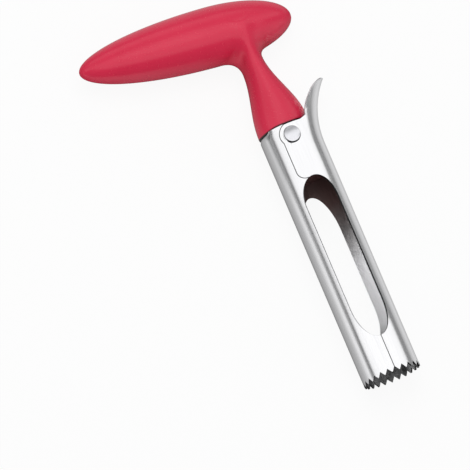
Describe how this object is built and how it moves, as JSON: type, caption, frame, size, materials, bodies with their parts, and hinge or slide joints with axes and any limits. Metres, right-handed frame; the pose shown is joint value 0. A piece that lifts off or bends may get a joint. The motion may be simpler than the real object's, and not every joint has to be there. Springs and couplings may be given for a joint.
{
  "type": "apple corer",
  "caption": "Apple corer with an egg-shaped T-handle and a toothed, windowed steel tube, split lengthwise so that a thumb lever swings one half open and drops the core.",
  "frame": {"origin": "centre of the tube's mouth, level with the tooth tips", "axes": "the corer lies on its back: +Y runs up the tube's axis to the handle, +X points to the lever half, +Z is the front with the domed rivet head"},
  "size_m": [0.0934, 0.1748, 0.0264],
  "materials": {
    "grip_red": "soft-touch matte red",
    "core_red": "moulded matte dark red",
    "tube_steel": "satin, brushed along the tube",
    "rivet_steel": "polished dome",
    "washer_nylon": "natural nylon"
  },
  "bodies": {
    "handle": {"grip": "grip_red", "handle_core": "core_red", "fixed_half_tube": "tube_steel", "rivet_pin": "rivet_steel", "rivet_sleeve": "rivet_steel", "front_washer": "washer_nylon", "rear_washer": "washer_nylon"},
    "lever_half": {"lever_half_tube": "tube_steel"}
  },
  "joints": [
    {"name": "lever_pivot", "type": "hinge", "parent": "handle", "child": "lever_half", "pos_m": [-0.001, 0.1075, 0], "axis": [0, 0, 1], "range_deg": [0, 12]}
  ]
}
